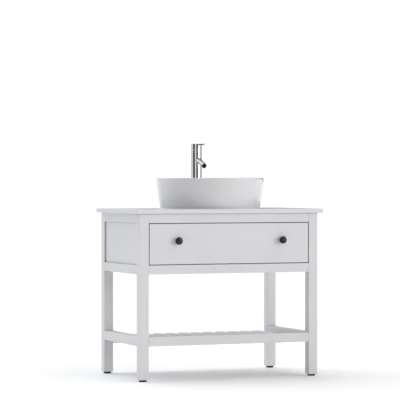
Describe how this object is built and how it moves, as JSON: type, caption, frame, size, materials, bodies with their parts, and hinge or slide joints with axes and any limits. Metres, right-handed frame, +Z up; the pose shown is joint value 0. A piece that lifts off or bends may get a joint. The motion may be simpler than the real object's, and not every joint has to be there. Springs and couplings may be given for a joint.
{
  "type": "vessel sink vanity",
  "caption": "Open-shelf wooden vanity with one drawer, a countertop and a round vessel basin with a single-lever tap on its rear deck.",
  "frame": {"origin": "on the floor under the middle of the whole piece's width and depth", "axes": "+X to the right seen from the front, +Y towards the wall, +Z up"},
  "size_m": [0.86, 0.51, 1.0026],
  "materials": {
    "painted_wood": "satin white paint",
    "painted_top": "satin white paint",
    "drawer_board": "matt foil",
    "zinc_steel": "zinc plated",
    "white_ceramic": "gloss glaze",
    "silicone": "translucent white",
    "chrome": "polished",
    "brass": "machined",
    "white_pipe_plastic": "moulded",
    "black_plastic": "moulded",
    "black_knob": "satin black"
  },
  "bodies": {
    "root": {"leg_front_left": "painted_wood", "leg_front_right": "painted_wood", "leg_rear_left": "painted_wood", "leg_rear_right": "painted_wood", "side_top_rail_left": "painted_wood", "side_top_rail_right": "painted_wood", "side_bottom_rail_left": "painted_wood", "side_bottom_rail_right": "painted_wood", "side_panel_left": "painted_wood", "side_panel_right": "painted_wood", "front_top_rail": "painted_wood", "front_bottom_rail": "painted_wood", "back_top_rail": "painted_wood", "back_bottom_rail": "painted_wood", "shelf_front_rail": "painted_wood", "shelf_rear_rail": "painted_wood", "shelf_side_rail_left": "painted_wood", "shelf_side_rail_right": "painted_wood", "shelf_slats": "painted_wood", "countertop": "painted_top", "top_brackets": "zinc_steel", "bracket_screws": "zinc_steel", "foot_sleeves": "zinc_steel", "cabinet_runners": "zinc_steel", "basin": "white_ceramic", "basin_seal": "silicone", "waste_flange": "chrome", "waste_nut": "white_pipe_plastic", "waste_elbow": "white_pipe_plastic", "waste_pipe": "white_pipe_plastic", "trap_body": "white_pipe_plastic", "trap_cup": "white_pipe_plastic", "trap_outlet": "white_pipe_plastic", "slip_nuts": "white_pipe_plastic", "tap_base_ring": "silicone", "tap_body": "chrome", "tap_collar": "chrome", "tap_cartridge": "black_plastic", "tap_shank_nut": "brass", "tap_spout": "chrome", "tap_aerator": "black_plastic"},
    "drawer": {"drawer_front": "painted_wood", "drawer_side_left": "drawer_board", "drawer_side_right": "drawer_board", "drawer_back": "drawer_board", "drawer_bottom": "drawer_board", "drawer_knob_left": "black_knob", "drawer_knob_right": "black_knob", "knob_screws": "zinc_steel", "drawer_runners": "zinc_steel"},
    "runner_middle": {"middle_runners": "zinc_steel"},
    "tap_handle": {"cartridge_stem": "brass", "tap_cap": "chrome", "lever_pin": "brass"},
    "tap_lever": {"tap_lever": "chrome"},
    "waste_plug": {"waste_plug": "chrome"},
    "foot_front_left": {"levelling_foot_front_left": "black_plastic"},
    "foot_front_right": {"levelling_foot_front_right": "black_plastic"},
    "foot_rear_left": {"levelling_foot_rear_left": "black_plastic"},
    "foot_rear_right": {"levelling_foot_rear_right": "black_plastic"}
  },
  "joints": [
    {"name": "drawer_slide", "type": "slide", "parent": "root", "child": "drawer", "axis": [0, -1, 0], "range_m": [0, 0.3]},
    {"name": "runner_middle_slide", "type": "slide", "parent": "root", "child": "runner_middle", "axis": [0, -1, 0], "range_m": [0, 0.15]},
    {"name": "handle_turn", "type": "hinge", "parent": "root", "child": "tap_handle", "pos_m": [0, 0.151, 0.9896], "axis": [0, 0, 1], "range_deg": [-45, 45]},
    {"name": "lever_lift", "type": "hinge", "parent": "tap_handle", "child": "tap_lever", "pos_m": [0, 0.159, 0.99935], "axis": [-1, 0, 0], "range_deg": [0, 22]},
    {"name": "plug_press", "type": "slide", "parent": "root", "child": "waste_plug", "axis": [0, 0, -1], "range_m": [0, 0.008]},
    {"name": "foot_front_left_screw", "type": "slide", "parent": "root", "child": "foot_front_left", "axis": [0, 0, -1], "range_m": [0, 0.012]},
    {"name": "foot_front_right_screw", "type": "slide", "parent": "root", "child": "foot_front_right", "axis": [0, 0, -1], "range_m": [0, 0.012]},
    {"name": "foot_rear_left_screw", "type": "slide", "parent": "root", "child": "foot_rear_left", "axis": [0, 0, -1], "range_m": [0, 0.012]},
    {"name": "foot_rear_right_screw", "type": "slide", "parent": "root", "child": "foot_rear_right", "axis": [0, 0, -1], "range_m": [0, 0.012]}
  ],
  "couplings": [
    {"joint": "runner_middle_slide", "follows": "drawer_slide", "ratio": 0.5}
  ]
}
